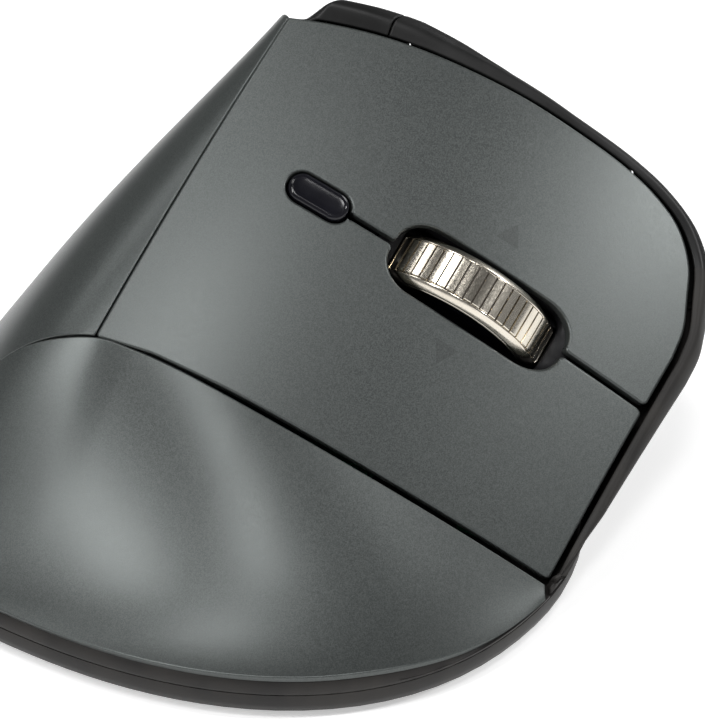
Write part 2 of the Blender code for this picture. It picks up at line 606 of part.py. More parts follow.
def thumb_switches():
    frame = Level(-30.05, 3.25, 48)
    frame.axis_a = np.array([-0.43, 0.903, 0.0])
    frame.axis_t = np.array([0.903, 0.43, 0.0])
    block('thumb_board', frame, (-1.2, 0, -11, 8, -4, 2), BOARD, 0.5, 0.0)
    for name, a in (('thumb_switch_rear', -8.5), ('thumb_switch_front', 5.0)):
        block(name, frame, (-3.4, -1.5, a - 2.4, a + 2.4, -3, 1.8), PART, 0.5, 0.2)


def screws():
    for name, (x, y) in zip(('screw_left', 'screw_right', 'screw_rear'), SCREWS):
        rings = ((1.3, 2.0), (1.45, 2.3), (2.1, 2.3), (2.101, 1.15), (6.6, 1.15), (7.2, 0.6))
        turned(name, (x, y, 0), (0, 0, 1), rings, STEEL, 20)


keys()
shells()
side_walls()
case()
belt()
feet()
wheel()
switches()
mode_button()
electronics()
thumb_switches()
screws()
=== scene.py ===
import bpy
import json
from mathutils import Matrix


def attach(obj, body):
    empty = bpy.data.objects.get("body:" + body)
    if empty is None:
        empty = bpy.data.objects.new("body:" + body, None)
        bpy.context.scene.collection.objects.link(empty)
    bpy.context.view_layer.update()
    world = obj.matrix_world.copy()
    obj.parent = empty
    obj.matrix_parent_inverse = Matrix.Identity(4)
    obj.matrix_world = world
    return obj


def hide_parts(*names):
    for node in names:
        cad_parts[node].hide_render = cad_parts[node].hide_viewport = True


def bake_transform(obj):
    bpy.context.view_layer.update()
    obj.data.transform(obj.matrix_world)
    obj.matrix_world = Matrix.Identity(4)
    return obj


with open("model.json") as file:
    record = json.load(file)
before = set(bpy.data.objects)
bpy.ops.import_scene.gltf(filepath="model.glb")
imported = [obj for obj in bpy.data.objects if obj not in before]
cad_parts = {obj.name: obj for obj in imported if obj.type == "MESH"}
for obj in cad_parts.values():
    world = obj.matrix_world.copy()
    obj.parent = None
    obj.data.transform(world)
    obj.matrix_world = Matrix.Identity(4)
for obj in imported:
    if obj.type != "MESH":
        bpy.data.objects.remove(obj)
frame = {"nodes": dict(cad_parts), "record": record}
"""Looks of a leaned ergonomic computer mouse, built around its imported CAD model.

Lengths are in millimetres until a mesh is made.  +Y is the nose, +X the little-finger side, -X the thumb
side and +Z up.  The finger deck leans: t runs across it, y forwards, and q is the distance out from the
leaned datum plane.  The surfaces follow the CAD model's, with finer seams and denser grids.  Here the
belt's top also dips at the front corner, and the bulge dies away at the end of the nose.
"""
import json
import math

import bpy
import numpy as np
from mathutils import Matrix, Vector, geometry

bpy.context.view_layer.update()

MM = 0.001
GAP = 0.3                      # clearance between the CAD model's pieces
CENTRE = np.array([0.86, -0.36, 0.0])   # moves the footprint's middle onto the origin

LEAN = math.radians(31.0)      # sideways lean of the finger deck
SIN, COS = math.sin(LEAN), math.cos(LEAN)
DECK_X = -2.5                  # where the datum plane meets the desk
DECK_RISE = 5.45               # height of the deck's front edge out of the datum plane
DECK_PITCH = 0.96              # slope of the deck at that edge
DECK_EASE = 0.0051             # how fast the slope eases towards the palm
DECK_CROWN = 0.0011            # how fast the deck falls away either side of the split
FRONT_Y = 48.0                 # front edge of the two keys
SEAM_Y = -8.0                  # seam between the deck and the palm shell
BLEND_Y = (-3.0, 2.2)          # the real keys flex between these stations; deck() reads points there but bends nothing
SPLIT_T = -30.3                # split between the two keys, also the wheel's middle plane
SPLIT_GAP = 0.4                # half the gap between the two keys
DECK_THICK = 1.6
ROUND = 0.32                   # edge rounding of the deck
DECK_RETURN = 0.9              # how far the deck's lower edge turns in
PLATE_RETURN = 0.8             # the same for the shells and walls
ARC = np.radians([90, 72, 54, 36, 18, 0])   # steps round an edge, from the face to the side

WHEEL_Y = 27.3
WHEEL_R = 13.5
WHEEL_PROUD = 3.6              # how far the tread stands out of the deck
WHEEL_SLOT = (4.85, 13.4)      # half width and half length of its opening
GROOVES = 64                   # cross grooves round the tread
MODE_Y = 6.6
MODE_SLOT = (2.25, 4.65)       # the same for the small button
MARK_Y = 27.1                  # the two faint triangles beside the wheel
MARK_SIDE = 3.5
MARK_STEPS = 6

WALL_TOP = 4.3                 # top of the bottom case's wall
BELT_TOP = 7.0                 # top of the belt
SHELL_FOOT = 7.3               # lower edge of the palm shell
BELT_MIDDLE = (1.3, -7.0)
BELT_HALF_X = (43.2, 45.6)     # from that middle to the little-finger side, and to the thumb side
BELT_HALF_Y = (56.3, 42.3)     # from that middle forwards, and back
BELT_POWER = (2.3, 2.0)        # squareness towards the little finger, and towards the thumb
BELT_SWEEP = 11.0              # how far the rear is swept towards the little finger
# stations along the thumb wall, from the palm shell to the end of the nose
REAR_END = 0.13
BUTTONS_END = 0.42
CHEEK_END = 0.62
CORNER = 0.8                   # where the wall turns from the thumb side to the nose
NOSE_END = 0.997
# rows down that wall
RIM_V = 0.25
BUTTON_V = 0.57

# thumb-side and nose edge of the deck: y station, then deck coordinate t
EDGE_Y = (-8, -3.4, 2.6, 8.7, 14.9, 21.1, 27.6, 33.2, 37.6, 41.5, 44.5, 46.2, 47.5, 48.0)
EDGE_T = (-50.2, -52.2, -54.3, -55.8, -56.8, -57.4, -57.4, -57.1, -56.2, -54.3, -50.8, -46.6, -42.7,
          -38.5)
# little-finger edge of the deck
FLANK_Y = (-8, -1, 9, 24, 48)
FLANK_T = (0.9, -0.7, -1.5, -2.2, -3.4)
# where the shells and the wall meet the belt's outline, in degrees round from the little-finger side
PALM_TURN = (205, 306)
FLANK_TURN = (92, 82, 74, 66, 58, 50, 42, 33, 24, 15, 6, -4, -15, -27, -38, -46, -53)
WALL_TURN = (206, 187, 171, 157, 143, 127, 110, 93)
# which way the wall faces in plan, at even steps along it
WALL_WAY = ((-1, -0.1), (-1, 0.0), (-1, 0.1), (-0.97, 0.25), (-0.75, 0.65), (-0.1, 1), (0, 1), (0, 1))
# shape of the wall: stations along it, then how far it bulges, is scooped out and is lifted under the rim
BULGE = ((0, 0.05, 0.15, 0.2, 0.27, 0.35, 0.5, 0.6, 0.7, 0.8, 0.93, 1),
         (2.6, 4.4, 5.2, 4.9, 3.4, 2.8, 2.9, 2.8, 2.3, 2.0, 1.9, 0.9))
SCOOP = ((0, 0.12, 0.3, 0.45, 0.6, 0.8, 1), (1.5, 4.0, 5.0, 1.8, 0.4, 0.3, 0.0))
LIFT = ((0, 0.03, 0.1, 0.15, 0.2, 0.3, 0.5, 0.65), (1.2, 2.6, 2.3, 1.85, 1.2, 0.8, 0.3, 0))


# ---------------------------------------------------------------- surfaces

def smooth(x):
    """Eases from 0 to 1 as x goes from 0 to 1."""
    x = np.clip(x, 0, 1)
    return x * x * (3 - 2 * x)


def drop(y):
    """Height of the deck out of its datum plane, falling away towards the nose."""
    g = FRONT_Y - y
    return DECK_RISE + DECK_PITCH * g - DECK_EASE * g * g


def pitch_at(y):
    """How steeply the deck falls towards the nose."""
    return DECK_PITCH - 2 * DECK_EASE * (FRONT_Y - y)


def slope(y):
    return math.atan(pitch_at(y))


def leaned(t, y, q):
    """World point of deck coordinates."""
    t, y, q = np.broadcast_arrays(np.asarray(t, float), np.asarray(y, float), np.asarray(q, float))
    return np.stack([DECK_X + t * COS + q * SIN, y, q * COS - t * SIN], -1)


def skin_normal(t, y):
    """Outward normal of the finger deck, with its two surface directions."""
    t, y = np.broadcast_arrays(np.asarray(t, float), np.asarray(y, float))
    fall_t = -2 * DECK_CROWN * (t - SPLIT_T)
    fall_y = -pitch_at(y)
    along_t = np.stack([COS + SIN * fall_t, 0 * t, -SIN + COS * fall_t], -1)
    along_y = np.stack([SIN * fall_y, 1 + 0 * t, COS * fall_y], -1)
    normal = np.cross(along_t, along_y)
    return normal / np.linalg.norm(normal, axis=-1, keepdims=True), along_t, along_y


def skin(t, y, depth=0.0):
    """Point on the finger deck, or below it by depth along its normal."""
    t = np.asarray(t, float)
    y = np.asarray(y, float)
    point = leaned(t, y, drop(y) - DECK_CROWN * (t - SPLIT_T) ** 2)
    return point - skin_normal(t, y)[0] * np.asarray(depth, float)[..., None]


class Frame:
    """Local axes on the deck: t across, a forwards along the slope, m outwards."""

    def __init__(self, t, y):
        b = slope(y)
        self.origin = leaned(t, y, drop(y))
        self.axis_t = np.array([COS, 0.0, -SIN])
        self.axis_a = np.array([-math.sin(b) * SIN, math.cos(b), -math.sin(b) * COS])
        self.axis_m = np.array([math.cos(b) * SIN, math.sin(b), math.cos(b) * COS])

    def point(self, t, a, m):
        return self.origin + t * self.axis_t + a * self.axis_a + m * self.axis_m


def spline(points, u):
    """Smooth curve through the points; u from 0 to 1 passes them at equal steps."""
    p = np.asarray(points, float)
    n = len(p) - 1
    knot = np.maximum(np.linalg.norm(np.diff(p, axis=0), axis=1), 1e-6)[:, None] ** 0.5
    rate = np.diff(p, axis=0) / knot
    inner = (rate[:-1] * knot[1:] + rate[1:] * knot[:-1]) / (knot[1:] + knot[:-1])
    tangent = np.vstack([rate[:1], inner, rate[-1:]])
    s = np.clip(np.asarray(u, float), 0, 1) * n
    i = np.minimum(s.astype(int), n - 1)
    f = (s - i)[..., None]
    g = 1 - f
    return (g * g * (1 + 2 * f) * p[i] + f * f * (3 - 2 * f) * p[i + 1]
            + f * g * g * knot[i] * tangent[i] - f * f * g * knot[i] * tangent[i + 1])


def outline(degrees, inset=0.0):
    """Plan outline of the belt, anticlockwise from the little-finger side."""
    r = np.radians(np.asarray(degrees, float))
    c, s = np.cos(r), np.sin(r)
    power = np.where(c > 0, *BELT_POWER)
    half_x = np.where(c > 0, *BELT_HALF_X) - inset
    half_y = np.where(s > 0, *BELT_HALF_Y) - inset
    reach = (np.abs(c / half_x) ** power + np.abs(s / half_y) ** power) ** (-1 / power)
    sweep = np.where(s < 0, BELT_SWEEP * (s * reach / half_y) ** 2, 0.0)
    return np.stack([BELT_MIDDLE[0] + reach * c + sweep, BELT_MIDDLE[1] + reach * s], -1)


def at_height(plan, z):
    """Plan points at one height, or at a height each."""
    plan = np.asarray(plan, float)
    z = np.broadcast_to(np.asarray(z, float)[..., None], plan.shape[:-1] + (1,))
    return np.concatenate([plan, z], -1)


def belt_top(degrees):
    """Top of the belt, dipping to the deck's front corner."""
    return BELT_TOP - 2.3 * smooth((np.asarray(degrees, float) - 58) / 34)


def cubic(p0, p1, p2, p3, v):
    """Grid of points on the cubic curves across four control rows."""
    v = v[None, :, None]
    p0, p1, p2, p3 = (p[:, None] for p in (p0, p1, p2, p3))
    return (1 - v) ** 3 * p0 + 3 * v * (1 - v) ** 2 * p1 + 3 * v * v * (1 - v) * p2 + v ** 3 * p3


def palm_rows(u):
    """Control rows of the palm shell, from the deck seam back and down to the foot."""
    seam = SEAM_Y - 0.05 - 0.12 * smooth(u * 1.6)
    top = skin(EDGE_T[0] + (FLANK_T[0] - EDGE_T[0]) * u, seam)
    foot = at_height(outline(PALM_TURN[0] + (PALM_TURN[1] - PALM_TURN[0]) * u), SHELL_FOOT)
    out = foot[:, :2] - top[:, :2]
    upper = top + np.hstack([out * 0.46, np.zeros((len(u), 1))])
    lower = foot + np.hstack([-out * 0.44, (top[:, 2:] - foot[:, 2:]) * 0.09])
    return top, upper, lower, foot


def palm_sheet(nu=120, nv=90):
    u = np.linspace(0, 1, nu)
    return cubic(*palm_rows(u), np.linspace(0, 1, nv))


def palm_side(u, v):
    """One side edge of the palm shell, u = 0 at the thumb and 1 at the little finger."""
    return cubic(*palm_rows(np.array([float(u)])), np.asarray(v, float))[0]


def flank_sheet(nu=260, nv=70):
    """Little-finger shell, from the deck's flank out to the flared foot."""
    y = np.linspace(FRONT_Y, SEAM_Y, 12)
    seam = 0.1 + 0.4 * smooth((y + 8) / 24)
    crease = palm_side(1, [0.2, 0.4, 0.58, 0.76, 0.94])
    u = np.linspace(0, 1, nu)
    top = spline(np.vstack([skin(np.interp(y, FLANK_Y, FLANK_T) + seam, y), crease]), u)
    turn = spline(np.array(FLANK_TURN, float)[:, None], u)[:, 0]
    foot = at_height(outline(turn), belt_top(turn) + GAP)
    out = foot[:, :2] - top[:, :2]
    reach = np.maximum(np.linalg.norm(out, axis=1)[:, None], 1e-6)
    fall = (top[:, 2:] - foot[:, 2:]) / reach
    first = np.minimum(np.maximum(0.5 * fall + 0.3, 0.9 * fall), 1.5 * fall + 0.05)
    upper = top + np.hstack([out * 0.36, -first * reach * 0.36])
    lower = foot - np.hstack([out * 0.34, -0.5 * fall * reach * 0.34])
    return cubic(top, upper, lower, foot, np.linspace(0, 1, nv))


def side_point(u):
    """Upper edge, outward direction and foot of the thumb-side and nose wall at its stations."""
    edge = spline(skin(np.array(EDGE_T), np.array(EDGE_Y)), np.minimum(u / CORNER, 1.0))
    along_nose = np.clip((u - CORNER) / 0.2, 0, 1)
    nose = skin(EDGE_T[-1] + (FLANK_T[-1] - EDGE_T[-1]) * along_nose, FRONT_Y)
    top = np.where((u > CORNER)[:, None], nose, edge)
    way = unit(spline(WALL_WAY, u))
    turn = spline(np.array(WALL_TURN, float)[:, None], u)[:, 0]
    return top, way, at_height(outline(turn), WALL_TOP + GAP)


def side_sheet(u, v):
    """Thumb-side and nose wall: rim, bulge under the rim, thumb scoop, flared foot."""
    top, way, foot = side_point(u)
    height = (top[:, 2] - foot[:, 2])[:, None]
    bulge = np.interp(u, *BULGE)[:, None]
    scoop = np.interp(u, *SCOOP)[:, None]
    lift = np.interp(u, *LIFT)[:, None]
    out = np.hstack([way, np.zeros((len(u), 1))])
    up = np.array([[0, 0, 1.0]])
    far = foot - top
    rows = [top + out * np.minimum(0.4, 0.5 * bulge) - up * 0.25,
            top + out * np.minimum(2.2, bulge * 0.6) + up * (0.9 * lift - 0.3),
            top + out * bulge * 0.95 + up * (1.1 * lift - np.minimum(1.5, 0.1 * height)),
            top + out * bulge - up * 0.18 * height,
            top + far * 0.30 + out * (bulge * 0.5 - scoop * 0.25),
            top + far * 0.55 - out * scoop,
            top + far * 0.82 - out * scoop * 0.55,
            foot]
    wall = np.stack([spline(np.stack([r[i] for r in rows]), v) for i in range(len(u))])
    # towards the rear the wall takes up the side edge of the palm shell
    back = palm_side(0, v)
    start = (back[None] + (top - back[0])[:, None] * (1 - v)[None, :, None]
             + (foot - back[-1])[:, None] * v[None, :, None])
    width = np.interp(v, (0, 0.35, 0.6, 1), (0.045, 0.07, 0.16, 0.16))
    blend = smooth(u[:, None] / width)[..., None]
    return start * (1 - blend) + wall * blend


# ---------------------------------------------------------------- meshes

def facing(verts, faces, vertex_normals):
    """The faces, each wound to agree with the normals of its vertices."""
    made = []
    for f in faces:
        f = tuple(int(i) for i in f)
        a, b, c = (verts[i] for i in f[:3])
        made.append(f if np.cross(b - a, c - a) @ vertex_normals[list(f)].sum(0) > 0 else f[::-1])
    return made


def make_mesh(name, verts, faces, mat, vertex_normals=None):
    mesh = bpy.data.meshes.new(name)
    if vertex_normals is not None:
        faces = facing(np.asarray(verts), faces, np.asarray(vertex_normals))
    mesh.from_pydata([tuple((np.asarray(v, float) + CENTRE) * MM) for v in verts], [], faces)
    mesh.polygons.foreach_set('use_smooth', [True] * len(mesh.polygons))
    if vertex_normals is not None:
        mesh.normals_split_custom_set_from_vertices([tuple(float(c) for c in n) for n in vertex_normals])
    mesh.materials.append(mat)
    obj = bpy.data.objects.new(name, mesh)
    bpy.context.scene.collection.objects.link(obj)
    return obj


def unit(a):
    return a / np.maximum(np.linalg.norm(a, axis=-1, keepdims=True), 1e-9)


def grid_normals(grid, outward):
    """Surface normals of a grid, turned to the outward side at its middle."""
    n = unit(np.cross(np.gradient(grid, axis=0), np.gradient(grid, axis=1)))
    middle = n[n.shape[0] // 2, n.shape[1] // 2]
    return n if middle @ np.asarray(outward, float) > 0 else -n


def pulled_in(grid, near, far):
    """The grid's first axis resampled between distances from its two ends."""
    out = np.empty_like(grid)
    for j in range(grid.shape[1]):
        line = grid[:, j]
        run = np.concatenate([[0], np.cumsum(np.linalg.norm(np.diff(line, axis=0), axis=1))])
        a, b = min(near, run[-1] * 0.3), min(far, run[-1] * 0.3)
        at = a + (run[-1] - b - a) * (run / max(run[-1], 1e-9))
        for k in range(3):
            out[:, j, k] = np.interp(at, run, line[:, k])
    return out


def rim_of(array):
    """The border of a grid as one closed chain."""
    return np.concatenate([array[:, 0], array[-1, 1:], array[-2::-1, -1], array[0, -2:0:-1]])


def plate(name, grid, outward, mat, gaps, thick, radius):
    """Shell with rounded edges on a surface grid; gaps are first row, last row, first and last column."""
    low_u, high_u, low_v, high_v = (g + radius for g in gaps)
    grid = pulled_in(grid, low_u, high_u)
    grid = pulled_in(grid.transpose(1, 0, 2), low_v, high_v).transpose(1, 0, 2)
    nu, nv = grid.shape[:2]
    n = grid_normals(grid, outward)
    out = np.zeros_like(grid)
    out[0] += unit(grid[0] - grid[1])
    out[-1] += unit(grid[-1] - grid[-2])
    out[:, 0] += unit(grid[:, 0] - grid[:, 1])
    out[:, -1] += unit(grid[:, -1] - grid[:, -2])
    border, border_n, border_out = rim_of(grid), rim_of(n), rim_of(out)
    flat_out = unit(border_out)
    rings = [(border + border_out * radius * math.cos(a) - border_n * radius * (1 - math.sin(a)),
              border_n * math.sin(a) + flat_out * math.cos(a)) for a in ARC[1:]]
    rings.append((border + border_out * radius - border_n * thick, flat_out))
    rings.append((border - border_out * PLATE_RETURN - border_n * thick, -border_n))
    verts, vertex_normals = [grid.reshape(-1, 3)], [n.reshape(-1, 3)]
    index = np.arange(nu * nv).reshape(nu, nv)
    faces = [(index[i, j], index[i + 1, j], index[i + 1, j + 1], index[i, j + 1])
             for i in range(nu - 1) for j in range(nv - 1)]
    last = rim_of(index[..., None])[:, 0]
    count = len(last)
    for number, (ring, ring_n) in enumerate(rings):
        verts.append(ring)
        vertex_normals.append(unit(ring_n))
        now = np.arange(count) + nu * nv + number * count
        for k in range(count):
            m = (k + 1) % count
            faces.append((last[k], last[m], now[m], now[k]))
        last = now
    return make_mesh(name, np.vstack(verts), faces, mat, np.vstack(vertex_normals))


def fillet(before, corner, after, radius):
    """Points round a corner of a polyline, or the corner itself where it stays sharp or straight."""
    here = np.array(corner, float)
    before = unit(np.array(before, float) - here)
    after = unit(np.array(after, float) - here)
    half = math.acos(max(-1, min(1, float(before @ after)))) / 2
    if radius <= 0 or half > math.radians(89):
        return [here]
    leg = radius / math.tan(half)
    centre = here + unit(before + after) * radius / math.sin(half)
    start, end = here + before * leg - centre, here + after * leg - centre
    first = math.atan2(start[1], start[0])
    turn = (math.atan2(end[1], end[0]) - first + math.pi) % (2 * math.pi) - math.pi
    steps = max(5, int(abs(turn) * radius / 0.3))
    angles = [first + turn * j / steps for j in range(steps + 1)]
    return [centre + radius * np.array([math.cos(a), math.sin(a)]) for a in angles]


def rounded_chain(corners, step=0.8):
    """Open polyline through (x, y, radius) corners with filleted corners, in even steps."""
    points = [np.array(corners[0][:2], float)]
    for before, corner, after in zip(corners, corners[1:], corners[2:]):
        points += fillet(before[:2], corner[:2], after[:2], corner[2])
    points.append(np.array(corners[-1][:2], float))
    filled = [points[0]]
    for a, b in zip(points, points[1:]):
        pieces = max(1, int(np.linalg.norm(b - a) / step))
        filled += [a + (b - a) * (j + 1) / pieces for j in range(pieces)]
    keep = [filled[0]]
    for p in filled[1:]:
        if np.linalg.norm(p - keep[-1]) > 1e-3:
            keep.append(p)
    return np.array(keep)


def inside(points, loop):
    """True for each point inside a closed loop."""
    x, y = points[:, 0], points[:, 1]
    result = np.zeros(len(points), bool)
    for (x0, y0), (x1, y1) in zip(loop, np.roll(loop, -1, axis=0)):
        crosses = (y0 > y) != (y1 > y)
        at = x0 + (y - y0) * (x1 - x0) / (y1 - y0 if y1 != y0 else 1e-12)
        result ^= crosses & (x < at)
    return result


def clear_of(points, loop, distance):
    """True for each point further than a distance from the loop's points."""
    near = np.full(len(points), 1e9)
    for p in loop:
        near = np.minimum(near, np.linalg.norm(points - p, axis=1))
    return near > distance


def triangles(loop, pitch=1.0, margin=0.55):
    """Points in and on a closed loop, and the triangles between them, on a staggered field."""
    low, high = loop.min(0), loop.max(0)
    t, y = np.meshgrid(np.arange(low[0], high[0], pitch), np.arange(low[1], high[1], pitch * 0.9))
    t = t + (np.arange(t.shape[0]) % 2)[:, None] * pitch / 2
    field = np.column_stack([t.ravel(), y.ravel()])
    field = field[inside(field, loop)]
    field = field[clear_of(field, loop, margin)]
    edges = [(k, (k + 1) % len(loop)) for k in range(len(loop))]
    made = geometry.delaunay_2d_cdt([Vector(p) for p in np.vstack([loop, field])], edges, [], 0, 1e-6)
    points = np.array([tuple(p) for p in made[0]])
    corners = np.array(made[2])
    middle = points[corners[:, 0]] / 3 + points[corners[:, 1]] / 3 + points[corners[:, 2]] / 3
    return points, corners[inside(middle, loop)]


def deck_outline(side):
    """Outline of half the deck as (t, y) points, from the split's rear end round its edge and back."""
    def span(y, half):
        return y - half * math.cos(slope(y)), y + half * math.cos(slope(y))

    rear_hole, front_hole = span(MODE_Y, MODE_SLOT[1])
    rear_slot, front_slot = span(WHEEL_Y, WHEEL_SLOT[1])
    hole = SPLIT_T + side * MODE_SLOT[0]
    slot = SPLIT_T + side * WHEEL_SLOT[0]
    split = SPLIT_T + side * SPLIT_GAP
    if side < 0:
        edge = spline(np.column_stack([EDGE_T, EDGE_Y]), np.linspace(0, 1, 90))
    else:
        y = np.linspace(SEAM_Y, FRONT_Y, 70)
        edge = np.column_stack([np.interp(y, FLANK_Y, FLANK_T) - 0.05 - 0.25 * smooth((y + 8) / 24), y])
    corners = [(SPLIT_T, SEAM_Y, 0), (*edge[0], 0.5)] + [(*p, 0.0) for p in edge[1:-1]]
    corners += [(*edge[-1], 0.5 if side > 0 else 0.0), (split, FRONT_Y, 0.7), (split, front_slot, 0.5),
                (slot, front_slot, 4.0), (slot, rear_slot, 4.0), (split, rear_slot, 0.5),
                (split, front_hole, 0.5), (hole, front_hole, 2.05), (hole, rear_hole, 2.05),
                (SPLIT_T, rear_hole, 0)]
    return rounded_chain(corners)


def deck_plate(name, side, mat):
    """One finger key with its half of the deck behind it; side is -1 at the thumb and 1 beyond the wheel."""
    chain = deck_outline(side)
    count = len(chain)
    segment = unit(np.diff(chain, axis=0))
    turn = np.vstack([segment[:1], unit(segment[:-1] + segment[1:]), segment[-1:]])
    inward = np.column_stack([-turn[:, 1], turn[:, 0]]) * (1 if side > 0 else -1)
    # both ends of the chain run square into the split
    inward[0] = (0, 1)
    inward[-1] = (0, -1)
    n, along_t, along_y = skin_normal(chain[:, 0], chain[:, 1])
    outward = -unit(inward[:, :1] * along_t + inward[:, 1:] * along_y)
    loops = [skin(*(chain + inward * DECK_RETURN).T, DECK_THICK), skin(*chain.T, DECK_THICK)]
    loop_normals = [-n, outward]
    for a in ARC[:0:-1]:
        place = chain + inward * (ROUND * (1 - math.cos(a)))
        loops.append(skin(*place.T, ROUND * (1 - math.sin(a))))
        loop_normals.append(n * math.sin(a) + outward * math.cos(a))
    rim = chain + inward * ROUND
    border_y = np.linspace(rim[-1, 1], rim[0, 1], 14)[1:-1]
    border = np.column_stack([np.full(len(border_y), SPLIT_T), border_y])
    flat, corners = triangles(np.vstack([rim, border]))
    base = np.vstack(loops)
    faces = [tuple(len(base) + i for i in f) for f in corners]
    lookup = [len(base) + int(np.argmin(np.linalg.norm(flat - p, axis=1))) for p in rim]
    levels = [np.arange(k * count, (k + 1) * count) for k in range(len(loops))] + [np.array(lookup)]
    for below, above in zip(levels, levels[1:]):
        for k in range(count - 1):
            faces.append((below[k], below[k + 1], above[k + 1], above[k]))
    normals = np.vstack(loop_normals + [skin_normal(*flat.T)[0]])
    return make_mesh(name, np.vstack([base, skin(*flat.T)]), faces, mat, unit(normals))


def loft(name, loops, mat, closed=False, caps=False):
    """Smooth surface through a stack of closed loops."""
    n = len(loops[0])
    levels = len(loops)
    faces = []
    for level in range(levels if closed else levels - 1):
        above = (level + 1) % levels
        for k in range(n):
            m = (k + 1) % n
            faces.append((level * n + k, level * n + m, above * n + m, above * n + k))
    if caps:
        faces += [tuple(range(n - 1, -1, -1)), tuple((levels - 1) * n + k for k in range(n))]
    return make_mesh(name, np.vstack(loops), faces, mat)


def split_edges(obj, degrees=35):
    """Keep creases over the angle sharp."""
    split = obj.modifiers.new('creases', 'EDGE_SPLIT')
    split.split_angle = math.radians(degrees)


def rounded_ring(half_t, half_a, corner, steps=10):
    """Rounded rectangle as (t, a) pairs, with steps round each corner."""
    points = []
    for k, (st, sa) in enumerate(((1, 1), (-1, 1), (-1, -1), (1, -1))):
        for j in range(steps + 1):
            r = math.radians(90 * k + 90 * j / steps)
            points.append((st * (half_t - corner) + corner * math.cos(r),
                           sa * (half_a - corner) + corner * math.sin(r)))
    return points


def dress(node, mat, width=0.15):
    """Material and rounded edges for a CAD node that is shown as it is."""
    obj = frame['nodes'][node]
    obj.data.materials.clear()
    obj.data.materials.append(mat)
    if 'custom_normal' in obj.data.attributes:
        obj.data.attributes.remove(obj.data.attributes['custom_normal'])
    obj.data.polygons.foreach_set('use_smooth', [True] * len(obj.data.polygons))
    weld = obj.modifiers.new('weld', 'WELD')
    weld.merge_threshold = 1e-6
    bevel = obj.modifiers.new('edges', 'BEVEL')
    bevel.width = width * MM
    bevel.segments = 2
    bevel.limit_method = 'ANGLE'
    bevel.angle_limit = math.radians(40)
    split_edges(obj, 50)


# ---------------------------------------------------------------- materials

class Nodes:
    """A material's node tree with short ways to add to it."""

    def __init__(self, name):
        self.mat = bpy.data.materials.new(name)
        self.mat.use_nodes = True
        self.tree = self.mat.node_tree
        self.surface = self.tree.nodes['Principled BSDF']
        self.coords = self.add('ShaderNodeTexCoord').outputs['Object']

    def add(self, kind, **values):
        node = self.tree.nodes.new(kind)
        for key, value in values.items():
            setattr(node, key, value)
        return node

    def link(self, output, socket):
        self.tree.links.new(output, socket)

    def noise(self, scale, detail=2.0, coords=None):
        node = self.add('ShaderNodeTexNoise')
        node.inputs['Scale'].default_value = scale
        node.inputs['Detail'].default_value = detail
        self.link(coords or self.coords, node.inputs['Vector'])
        return node.outputs['Fac']

    def flakes(self, scale):
        """A random grey for each cell of a fine honeycomb."""
        node = self.add('ShaderNodeTexVoronoi')
        node.inputs['Scale'].default_value = scale
        self.link(self.coords, node.inputs['Vector'])
        split = self.add('ShaderNodeSeparateColor')
        self.link(node.outputs['Color'], split.inputs['Color'])
        return split.outputs['Red']

    def remap(self, value, low, high, to_low, to_high):
        node = self.add('ShaderNodeMapRange')
        set_range(node, low, high, to_low, to_high)
        self.link(value, node.inputs['Value'])
        return node.outputs['Result']

    def mix(self, factor, first, second):
        node = self.add('ShaderNodeMix', data_type='RGBA')
        self.link(factor, node.inputs['Factor'])
        for socket, colour in (('A', first), ('B', second)):
            place = [i for i in node.inputs if i.name == socket and i.type == 'RGBA'][0]
            place.default_value = (*colour, 1)
        return [o for o in node.outputs if o.type == 'RGBA'][0]

    def maths(self, operation, first, second):
        node = self.add('ShaderNodeMath', operation=operation)
        for socket, value in zip(node.inputs, (first, second)):
            if isinstance(value, (int, float)):
                socket.default_value = value
            else:
                self.link(value, socket)
        return node.outputs[0]

    def bump(self, height, strength, distance_mm):
        node = self.add('ShaderNodeBump')
        node.inputs['Strength'].default_value = strength
        node.inputs['Distance'].default_value = distance_mm * MM
        self.link(height, node.inputs['Height'])
        self.link(node.outputs['Normal'], self.surface.inputs['Normal'])

    def set(self, **values):
        for key, value in values.items():
            socket = self.surface.inputs[key.replace('_', ' ')]
            if isinstance(value, (int, float)):
                socket.default_value = value
            elif isinstance(value, tuple):
                socket.default_value = (*value, 1)
            else:
                self.link(value, socket)


def set_range(node, low, high, to_low, to_high):
    """Limits of a map range node."""
    node.inputs['From Min'].default_value = low
    node.inputs['From Max'].default_value = high
    node.inputs['To Min'].default_value = to_low
    node.inputs['To Max'].default_value = to_high


def metallic_paint(name, dark, light, metallic=0.55):
    """Satin paint over plastic with fine metal flakes and a faint orange peel."""
    m = Nodes(name)
    flake = m.flakes(9000)
    cloud = m.noise(60, 3)
    mixed = m.maths('ADD', m.maths('MULTIPLY', flake, 0.75), m.maths('MULTIPLY', cloud, 0.25))
    m.set(Base_Color=m.mix(mixed, dark, light), Metallic=metallic,
          Roughness=m.remap(flake, 0, 1, 0.30, 0.40), IOR=1.5)
    peel = m.maths('ADD', m.maths('MULTIPLY', flake, 0.5), m.noise(2200, 2))
    m.bump(peel, 0.16, 0.02)
    return m.mat


def moulded(name, dark, light, rough, grain_scale, grain, scuff=0.06, shine=0.3):
    """Moulded plastic: fine spark texture, uneven gloss and faint rubbed marks."""
    m = Nodes(name)
    texture = m.noise(grain_scale, 4)
    rubbed = m.noise(180, 5)
    m.set(Base_Color=m.mix(m.remap(rubbed, 0.35, 0.7, 0, 1), dark, light),
          Roughness=m.remap(rubbed, 0.3, 0.75, rough, rough + scuff), Specular_IOR_Level=shine)
    m.bump(texture, grain, 0.02)
    return m.mat


